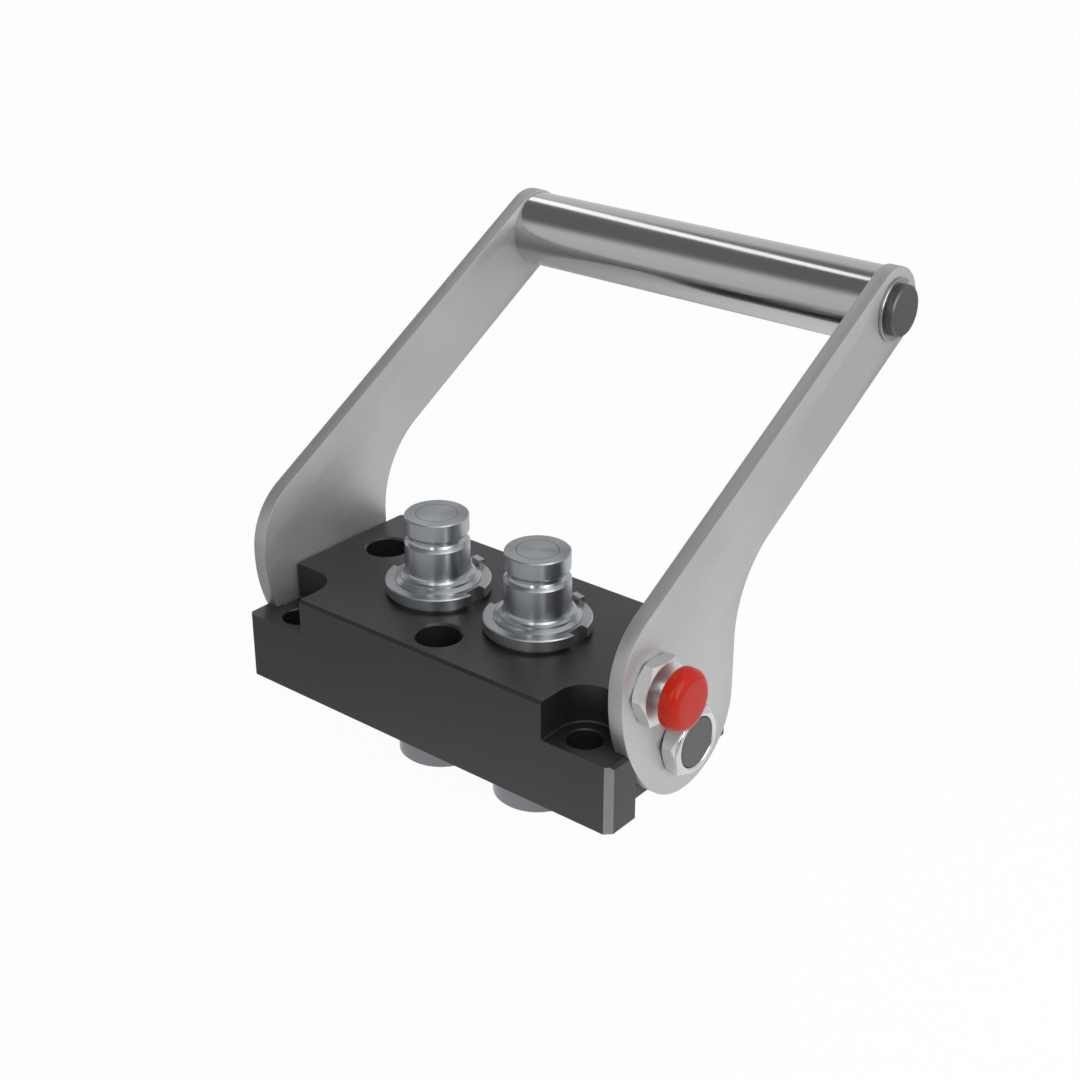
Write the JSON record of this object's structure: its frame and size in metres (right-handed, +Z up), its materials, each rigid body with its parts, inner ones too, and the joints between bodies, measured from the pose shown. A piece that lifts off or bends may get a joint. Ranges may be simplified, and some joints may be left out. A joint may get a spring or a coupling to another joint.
{
  "type": "hydraulic multi coupler",
  "caption": "Black block with flat-face hydraulic nipples side by side and a tall U-shaped steel hand lever with a red lock button.",
  "frame": {"origin": "middle of the flat underside of the base block", "axes": "+Z up along the nipples, X along the lever's pivot axis and the long side of the block, the lugs at -Y, the handle at +Y"},
  "size_m": [0.2028, 0.1879, 0.1886],
  "materials": {
    "black_steel": "satin black",
    "plate_steel": "matte stainless",
    "satin_steel": "turned satin",
    "zinc_steel": "zinc plated",
    "polished_steel": "polished",
    "dark_steel": "dark turned",
    "spring_steel": "drawn wire",
    "bronze": "plain bronze",
    "black_rubber": "matte",
    "red_plastic": "glossy red"
  },
  "bodies": {
    "block": {"base_block": "black_steel", "nipple_body_left": "satin_steel", "body_seal_left": "black_rubber", "spring_guide_left": "satin_steel", "poppet_spring_left": "spring_steel", "retaining_flange_left": "zinc_steel", "port_adapter_left": "satin_steel", "pivot_pin_left": "dark_steel", "pivot_nut_left": "zinc_steel", "thrust_washer_left": "bronze", "nipple_body_right": "satin_steel", "body_seal_right": "black_rubber", "spring_guide_right": "satin_steel", "poppet_spring_right": "spring_steel", "retaining_flange_right": "zinc_steel", "port_adapter_right": "satin_steel", "pivot_pin_right": "dark_steel", "pivot_nut_right": "zinc_steel", "thrust_washer_right": "bronze"},
    "lever": {"handle_tube": "polished_steel", "handle_core": "dark_steel", "plunger_housing": "zinc_steel", "plunger_spring": "spring_steel", "lever_plate_left": "plate_steel", "pivot_bush_left": "bronze", "retaining_ring_left": "spring_steel", "lever_plate_right": "plate_steel", "pivot_bush_right": "bronze", "retaining_ring_right": "spring_steel"},
    "lock_button": {"plunger_pin": "zinc_steel", "plunger_button": "red_plastic"},
    "valve_left": {"poppet_left": "satin_steel", "nose_seal_left": "black_rubber"},
    "valve_right": {"poppet_right": "satin_steel", "nose_seal_right": "black_rubber"}
  },
  "joints": [
    {"name": "lever_hinge", "type": "hinge", "parent": "block", "child": "lever", "pos_m": [0, 0, 0.021], "axis": [1, 0, 0], "range_deg": [-44, 0]},
    {"name": "lock_button_slide", "type": "slide", "parent": "lever", "child": "lock_button", "axis": [-1, 0, 0], "range_m": [0, 0.0023], "stiffness_N_per_m": 1500, "springref_m": -0.002, "deforming": ["plunger_spring"]},
    {"name": "valve_slide_left", "type": "slide", "parent": "block", "child": "valve_left", "axis": [0, 0, -1], "range_m": [0, 0.008], "stiffness_N_per_m": 1200, "springref_m": -0.004, "deforming": ["poppet_spring_left"]},
    {"name": "valve_slide_right", "type": "slide", "parent": "block", "child": "valve_right", "axis": [0, 0, -1], "range_m": [0, 0.008], "stiffness_N_per_m": 1200, "springref_m": -0.004, "deforming": ["poppet_spring_right"]}
  ]
}
